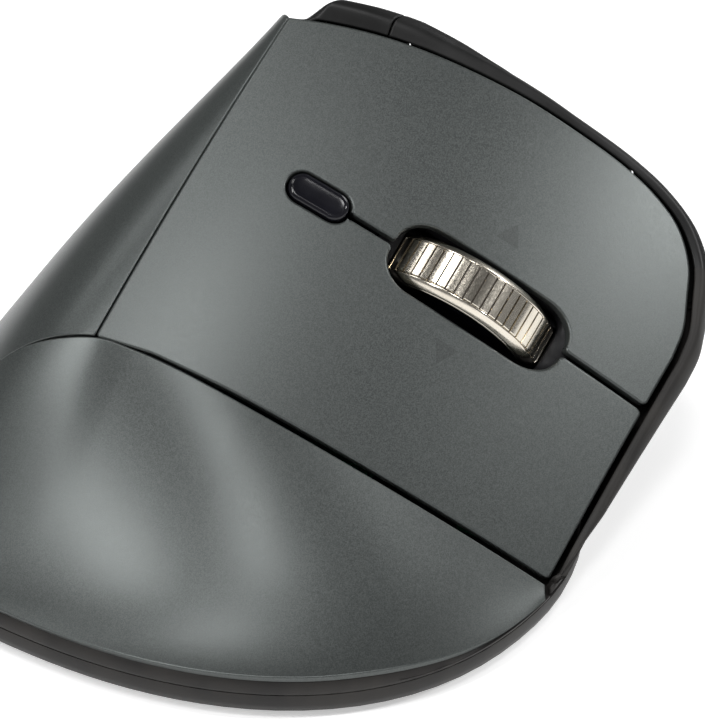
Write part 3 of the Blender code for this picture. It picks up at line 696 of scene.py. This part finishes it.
def satin_metal(name, dark, light, rough, streak=(1, 1, 1), grain=0.1):
    """Plated or rolled metal with fine lines along one direction."""
    m = Nodes(name)
    stretch = m.add('ShaderNodeMapping')
    stretch.inputs['Scale'].default_value = streak
    m.link(m.coords, stretch.inputs['Vector'])
    lines = m.noise(5000, 3, stretch.outputs['Vector'])
    stain = m.noise(150, 3)
    m.set(Base_Color=m.mix(stain, dark, light), Metallic=1.0,
          Roughness=m.remap(lines, 0.3, 0.7, rough, rough + 0.12))
    m.bump(lines, grain, 0.01)
    return m.mat


def board_lacquer(name):
    """Circuit board: solder mask over faint copper tracks."""
    m = Nodes(name)
    tracks = m.add('ShaderNodeTexBrick')
    tracks.inputs['Scale'].default_value = 260
    tracks.inputs['Color1'].default_value = (0.01, 0.11, 0.05, 1)
    tracks.inputs['Color2'].default_value = (0.015, 0.14, 0.06, 1)
    tracks.inputs['Mortar'].default_value = (0.03, 0.2, 0.09, 1)
    m.link(m.coords, tracks.inputs['Vector'])
    m.set(Base_Color=tracks.outputs['Color'], Roughness=m.remap(m.noise(900), 0.3, 0.7, 0.25, 0.4))
    m.bump(tracks.outputs['Fac'], 0.2, 0.03)
    return m.mat


def clear_plastic(name):
    m = Nodes(name)
    m.set(Base_Color=(0.9, 0.92, 0.94), Roughness=m.remap(m.noise(400), 0.3, 0.7, 0.03, 0.1),
          Transmission_Weight=0.85, IOR=1.49)
    return m.mat


def cavity_shade_black(name):
    """Near-black, dull plastic for the wheel's cavity: partly the cavity's own black plastic, partly painted
    shade that replaces each piece's own finish inside the opening.
    """
    m = Nodes(name)
    m.set(Base_Color=(0.006, 0.006, 0.007), Roughness=m.remap(m.noise(700), 0.3, 0.7, 0.35, 0.5),
          Specular_IOR_Level=0.15)
    return m.mat


PAINT = metallic_paint('shell_paint', (0.052, 0.058, 0.057), (0.092, 0.101, 0.098))
MARK = metallic_paint('shell_mark', (0.036, 0.041, 0.040), (0.066, 0.073, 0.071), metallic=0.3)
SATIN = moulded('satin_black', (0.009, 0.009, 0.009), (0.014, 0.014, 0.014), 0.36, 9000, 0.25, shine=0.22)
TEXTURED = moulded('textured_black', (0.017, 0.016, 0.0155), (0.027, 0.025, 0.023), 0.46, 4200, 0.5,
                   shine=0.22)
GLOSS = moulded('gloss_black', (0.004, 0.004, 0.006), (0.007, 0.007, 0.010), 0.12, 900, 0.01,
                scuff=0.03, shine=0.35)
TREAD = satin_metal('wheel_plating', (0.50, 0.45, 0.37), (0.74, 0.70, 0.62), 0.11)
# painted shade: the grooves are the tread's own metal, coloured dark so they read as shaded dips
GROOVE_SHADE = satin_metal('groove_painted_shade', (0.05, 0.045, 0.04), (0.10, 0.09, 0.08), 0.35)
GLIDE = moulded('glide_white', (0.42, 0.43, 0.43), (0.52, 0.52, 0.51), 0.30, 2600, 0.20)
STEEL = satin_metal('part_steel', (0.42, 0.42, 0.43), (0.58, 0.58, 0.58), 0.28, streak=(1, 8, 1), grain=0.2)
CELL = moulded('cell_wrap', (0.26, 0.29, 0.33), (0.34, 0.37, 0.41), 0.28, 1500, 0.15)
PART = moulded('component_black', (0.03, 0.03, 0.03), (0.055, 0.055, 0.055), 0.45, 5200, 0.4)
# painted shade: near-black, dull plastic for the pieces in the wheel's cavity
CAVITY_SHADE = cavity_shade_black('cavity_painted_shade')
BOARD = board_lacquer('board_lacquer')
CLEAR = clear_plastic('lens_plastic')

SLOT_LOOKS = {'grey_shell': PAINT, 'black_plastic': TEXTURED, 'gloss_black': GLOSS, 'wheel_metal': TREAD,
              'slide_feet': GLIDE, 'circuit_board': BOARD, 'component_body': PART, 'steel': STEEL,
              'cell_wrap': CELL, 'clear_lens': CLEAR}
# these CAD nodes in the wheel's cavity are drawn near-black and dull as painted shade, not in their slot's
# finish
CAVITY_NODES = ('wheel_lift', 'wheel_yoke', 'wheel_well')


# ---------------------------------------------------------------- pieces

WHEEL = Frame(SPLIT_T, WHEEL_Y)
MODE = Frame(SPLIT_T, MODE_Y)
AXLE = WHEEL.point(0, 0, WHEEL_PROUD - WHEEL_R)


def placed(obj, body, slot, *nodes):
    """Says which body a piece rides on and hides the CAD nodes that it stands for; slot is not used."""
    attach(obj, body)
    if nodes:
        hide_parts(*nodes)


def deck():
    """The two finger keys; behind the small button they run on as one unbroken skin."""
    start, end = (tuple((skin(SPLIT_T, y) + CENTRE) * MM) for y in BLEND_Y)
    for side, key in ((-1, 'left_key'), (1, 'right_key')):
        piece = deck_plate(key + '_skin', side, PAINT)
        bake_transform(piece)
        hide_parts(key, *(('key_bridge',) if side < 0 else ()))


def mark(name, t, way, body):
    """Faint tone-on-tone triangle; way is -1 where it points to the thumb, 1 to the little finger."""
    tall = MARK_SIDE * math.sqrt(3) / 2
    forward = math.cos(slope(MARK_Y))
    verts, normals, rows = [], [], []
    for i in range(MARK_STEPS + 1):
        across = way * (tall * (2 / 3 - i / MARK_STEPS))
        rows.append([len(verts) + j for j in range(i + 1)])
        for j in range(i + 1):
            a = (j - i / 2) * MARK_SIDE / MARK_STEPS
            verts.append(skin(t + across, MARK_Y + a * forward, -0.012))
            normals.append(skin_normal(t + across, MARK_Y)[0])
    faces = []
    for row, below in zip(rows, rows[1:]):
        for j in range(len(row)):
            faces.append((row[j], below[j], below[j + 1]))
            if j < len(row) - 1:
                faces.append((row[j], below[j + 1], row[j + 1]))
    placed(make_mesh(name, verts, faces, MARK, normals), body, 'grey_shell')


def shells():
    """Palm shell, and the shell on the little-finger side."""
    palm = plate('palm_skin', palm_sheet(), (0, -1, 1), PAINT, (0.05, 0.1, 0.0, 0.0), 0.9, 0.22)
    placed(palm, 'chassis', 'grey_shell', 'palm_shell')
    flank = plate('pinky_skin', flank_sheet(), (1, 0, 1), PAINT, (0.1, 0.1, 0.0, 0.0), 0.9, 0.25)
    placed(flank, 'chassis', 'grey_shell', 'pinky_shell')


def side_walls():
    """Rim, thumb buttons, cheek, thumb scoop and nose, each a plate of one smooth wall.

    The rim is one CAD piece shown as two plates, parted where the two thumb buttons part.
    """
    thick = 0.55
    radius = 0.28
    # from each plate's end to its station; at the cheek's end the roundings cross, so no gap is left
    gap_at = {0: 0.12, REAR_END: 0.08, BUTTONS_END: 0.2, CHEEK_END: -radius, NOSE_END: 0.05}
    sideways = (-1, 0.3, 0.2)
    upwards = (-0.5, 0, 1)
    rear = (0, REAR_END)
    front = (REAR_END, BUTTONS_END)
    spans = (('thumb_rim_rear', 'thumb_rim', rear, (0, RIM_V), SATIN, 'gloss_black', 'chassis'),
             ('thumb_rim', 'thumb_rim', (REAR_END, CHEEK_END), (0, RIM_V), SATIN, 'gloss_black', 'chassis'),
             ('thumb_button_rear', 'thumb_button_rear', rear, (RIM_V, BUTTON_V), SATIN, 'black_plastic',
              'thumb_button_rear'),
             ('thumb_button_front', 'thumb_button_front', front, (RIM_V, BUTTON_V), SATIN, 'black_plastic',
              'thumb_button_front'),
             ('thumb_cheek', 'thumb_cheek', (BUTTONS_END, CHEEK_END), (RIM_V, BUTTON_V), SATIN,
              'black_plastic', 'chassis'),
             ('thumb_panel', 'thumb_panel', (0, CHEEK_END), (BUTTON_V, 1), TEXTURED, 'black_plastic',
              'chassis'),
             ('nose_bezel', 'nose_bezel', (CHEEK_END, NOSE_END), (0, 1), TEXTURED, 'black_plastic',
              'chassis'))
    for name, node, (u0, u1), (v0, v1), mat, slot, body in spans:
        u = np.linspace(u0, u1, max(24, int((u1 - u0) * 300)))
        v = np.linspace(v0, v1, max(16, int((v1 - v0) * 90)))
        along = 0.2 if 'button' in node else 0.12
        gaps = (gap_at[u0], gap_at[u1], along, along)
        outward = upwards if node == 'thumb_rim' else sideways
        piece = plate(name + '_skin', side_sheet(u, v), outward, mat, gaps, thick, radius)
        placed(piece, body, slot, node)


def belt():
    """Black belt round the foot of the shells, with a fine step along its top."""
    turn = np.linspace(93, -153, 320)
    n = len(turn)
    top = belt_top(turn)
    # the line between the case's wall and the belt opens towards the rear
    parted = 1 - smooth((turn + 30) / 40)
    foot = WALL_TOP + 0.03 + 0.27 * parted
    from_foot = ((0.55, 0.0), (0.2, 0.0), (0.03, 0.16), (0.0, 0.5))
    from_top = ((0.0, -1.9), (0.08, -1.4), (0.3, -0.85), (0.62, -0.38), (0.9, -0.1), (1.15, 0.0), (1.5, 0.0),
                (1.7, -0.6))
    rows = [at_height(outline(turn, inset * np.mean(parted)), foot + z) for inset, z in from_foot]
    rows += [at_height(outline(turn, inset), np.maximum(top + z, foot + 0.3)) for inset, z in from_top]
    faces = [(r * n + k, (r + 1) * n + k, (r + 1) * n + k + 1, r * n + k + 1)
             for r in range(len(rows) - 1) for k in range(n - 1)]
    placed(make_mesh('belt_skin', np.vstack(rows), faces, TEXTURED), 'chassis', 'black_plastic', 'belt')


def spokes(turn):
    """Directions out from the axle at each angle round it."""
    side = unit(np.cross(WHEEL.axis_t, np.array([0.0, 0.0, 1.0])))
    return side * np.cos(turn) + np.cross(WHEEL.axis_t, side) * np.sin(turn)


def turned(name, rings, mat, way=1, steps=160, caps=False):
    """Surface turned about the axle through (distance along it, radius) rings."""
    circle = spokes(np.linspace(0, 2 * math.pi, steps, endpoint=False)[:, None])
    return loft(name, [AXLE + WHEEL.axis_t * way * d + circle * r for d, r in rings], mat, caps=caps)


def wheel_tread():
    """Metal tread whose cross grooves are narrow dips between slightly crowned lands; the groove faces are
    coloured dark as painted shade.
    """
    pitch = 2 * math.pi / GROOVES
    # within one pitch: where along it, and 1 in the groove or 0 on the land
    pattern = ((0.0, 1), (0.10, 1), (0.15, 0), (0.36, 0), (0.58, 0), (0.80, 0), (0.95, 0))
    turn = np.array([(k + f) * pitch for k in range(GROOVES) for f, _ in pattern])[:, None]
    deep = np.array([d for _, d in pattern] * GROOVES, float)[:, None]
    crown = 0.02 * np.abs(((turn / pitch) % 1) - 0.55)
    circle = spokes(turn)
    # across the wheel: distance along the axle, radius, depth of the groove
    profile = ((-2.5, 13.2, 0), (-2.46, 13.42, 0.22), (-2.36, WHEEL_R, 0.3), (0, WHEEL_R, 0.3),
               (2.36, WHEEL_R, 0.3), (2.46, 13.42, 0.22), (2.5, 13.2, 0))
    loops = [AXLE + WHEEL.axis_t * d + circle * (r - deep * g - crown * (g > 0)) for d, r, g in profile]
    tread = loft('tread_lands', loops, TREAD)
    split_edges(tread, 25)
    # the groove faces take the dark groove colour, which paints the shade in the grooves
    tread.data.materials.append(GROOVE_SHADE)
    for face in tread.data.polygons:
        column = min(v % len(turn) for v in face.vertices)
        if deep[column, 0] and deep[(column + 1) % len(turn), 0]:
            face.material_index = 1
    placed(tread, 'wheel', 'wheel_metal', 'wheel_tread')


def wheel_sides():
    """Polished shoulders either side of the tread, and the dark hub between them."""
    rings = ((2.5, 12.9), (2.51, 13.25), (2.6, 13.32), (2.8, 13.22), (3.2, 12.86), (3.5, 12.5),
             (3.62, 12.28), (3.6, 12.16), (3.42, 12.1), (3.4, 11.98), (3.55, 11.9), (3.64, 11.72),
             (3.6, 11.45), (3.2, 11.3))
    for way, name in ((-1, 'wheel_shoulder_left'), (1, 'wheel_shoulder_right')):
        placed(turned(name, rings, TREAD, way), 'wheel', 'wheel_metal')
    half = [(-4.3, 0.9), (-4.3, 1.0), (-3.1, 1.0), (-3.1, 3.0), (-2.7, 3.6), (-2.7, 10.6), (-3.1, 11.2),
            (-3.1, 12.3)]
    hub = turned('hub_disc', half + [(-d, r) for d, r in half[::-1]], GLOSS, steps=120, caps=True)
    split_edges(hub)
    placed(hub, 'wheel', 'black_plastic', 'wheel_hub')


def wheel_collar():
    """Dark lining just under the deck, round the wheel's opening: black plastic, drawn near-black and dull
    as painted shade in the opening.
    """
    loops = []
    # half width, half length and corner radius at each height
    for half_t, half_a, corner, m in (
            (6.4, 14.9, 4.8, -3.2), (4.75, 12.2, 2.4, -3.2), (4.62, 12.0, 2.2, -3.0),
            (4.62, 12.0, 2.2, -2.75), (4.7, 12.2, 2.4, -2.5), (4.85, 13.1, 3.6, -2.2),
            (5.2, 13.7, 4.2, -1.8), (6.4, 14.9, 4.8, -1.75)):
        # the lining bends down at its ends, as the deck does
        loops.append(np.array([WHEEL.point(t, a, m - 0.0035 * a * a)
                               for t, a in rounded_ring(half_t, half_a, corner)]))
    collar = loft('wheel_collar', loops, CAVITY_SHADE, closed=True)
    split_edges(collar, 50)
    placed(collar, 'chassis', 'gloss_black')


def mode_button():
    """Small gloss cap with a chamfer ring and a slightly dished top."""
    loops = []
    for inset, m in ((0.0, -3.3), (0.0, 0.02), (0.04, 0.14), (0.14, 0.25), (0.38, 0.40), (0.46, 0.43),
                     (0.56, 0.44), (0.75, 0.42), (1.1, 0.40), (1.5, 0.39)):
        pairs = rounded_ring(1.93 - inset, 4.33 - inset, 1.92 - inset, 12)
        loops.append(np.array([MODE.point(t, a, m) for t, a in pairs]))
    cap = loft('mode_cap', loops, GLOSS, caps=True)
    split_edges(cap, 60)
    placed(cap, 'mode_button', 'gloss_black', 'mode_button')


def inner_parts():
    """CAD nodes shown as they are, each in its slot's material, except the wheel's cavity nodes, which take
    the near-black dull material as painted shade.
    """
    for entry in frame['record']['subparts']:
        node = entry['node']
        if not frame['nodes'][node].hide_render:
            dress(node, CAVITY_SHADE if node in CAVITY_NODES else SLOT_LOOKS[entry['material_slot']])


# ---------------------------------------------------------------- stage

# name, place, size across and along, and power of each lamp
LAMPS = (('overhead', (0.31, 0.28, 0.76), (0.14, 0.14), 1.5),
         ('nose', (-0.17, 0.60, 0.53), (0.07, 0.07), 1.9),
         ('flank', (0.62, -0.12, 0.62), (0.10, 0.42), 3.0),
         ('top', (0.20, -0.04, 0.86), (0.20, 0.16), 1.3),
         ('rear', (0.11, -0.42, 0.68), (0.22, 0.10), 0.45),
         ('thumb', (-0.70, 0.25, 0.45), (0.35, 0.30), 1.6))


def floor():
    """Pale paper a hair below the desk plane, so that nothing of the object touches it."""
    half, z = 3, -0.0002
    mesh = bpy.data.meshes.new('floor')
    mesh.from_pydata([(-half, -half, z), (half, -half, z), (half, half, z), (-half, half, z)], [],
                     [(0, 1, 2, 3)])
    floor_obj = bpy.data.objects.new('floor', mesh)
    bpy.context.scene.collection.objects.link(floor_obj)
    m = Nodes('floor_paper')
    m.set(Base_Color=m.mix(m.noise(40), (0.86, 0.86, 0.86), (0.90, 0.90, 0.90)), Roughness=0.8,
          Emission_Color=(1.0, 1.0, 1.0), Emission_Strength=0.45)
    mesh.materials.append(m.mat)


def studio():
    """White surroundings that darken upwards, and the lamps."""
    world = bpy.data.worlds.new('studio')
    bpy.context.scene.world = world
    world.use_nodes = True
    sky = world.node_tree
    height = sky.nodes.new('ShaderNodeSeparateXYZ')
    sky.links.new(sky.nodes.new('ShaderNodeTexCoord').outputs['Generated'], height.inputs['Vector'])
    fade = sky.nodes.new('ShaderNodeMapRange')
    set_range(fade, 0.45, 0.95, 0.25, 0.07)
    sky.links.new(height.outputs['Z'], fade.inputs['Value'])
    sky.links.new(fade.outputs['Result'], sky.nodes['Background'].inputs['Strength'])
    sky.nodes['Background'].inputs['Color'].default_value = (1.0, 1.0, 1.0, 1)
    bpy.context.scene.view_settings.view_transform = 'Standard'

    centre = Vector((0.0, 0.0, 0.03))
    for name, place, size, power in LAMPS:
        light = bpy.data.lights.new(name, 'AREA')
        light.shape = 'RECTANGLE'
        light.size, light.size_y = size
        light.energy = power
        lamp = bpy.data.objects.new(name, light)
        lamp.location = place
        lamp.rotation_mode = 'QUATERNION'
        lamp.rotation_quaternion = (centre - Vector(place)).to_track_quat('-Z', 'Y')
        bpy.context.scene.collection.objects.link(lamp)


def camera():
    """Azimuth 55 degrees from the nose towards the little finger, 35 degrees up, 650 mm from the wheel."""
    a, e = math.radians(55), math.radians(35)
    back = Vector((math.sin(a) * math.cos(e), math.cos(a) * math.cos(e), math.sin(e)))
    right = Vector((-math.cos(a), math.sin(a), 0))
    up = back.cross(right)
    data = bpy.data.cameras.new('camera')
    data.sensor_fit = 'HORIZONTAL'
    data.sensor_width = 36
    data.lens = 252.3
    data.clip_start = 0.05
    data.clip_end = 20
    obj = bpy.data.objects.new('camera', data)
    obj.matrix_world = Matrix([(*row, 0) for row in zip(right, up, back)] + [(0, 0, 0, 1)])
    obj.location = (0.43346, 0.32134, 0.4010)
    bpy.context.scene.collection.objects.link(obj)
    bpy.context.scene.camera = obj


deck()
mark('mark_left', -39.7, -1, 'left_key')
mark('mark_right', -21.4, 1, 'right_key')
shells()
side_walls()
belt()
wheel_tread()
wheel_sides()
wheel_collar()
mode_button()
inner_parts()
floor()
studio()
camera()
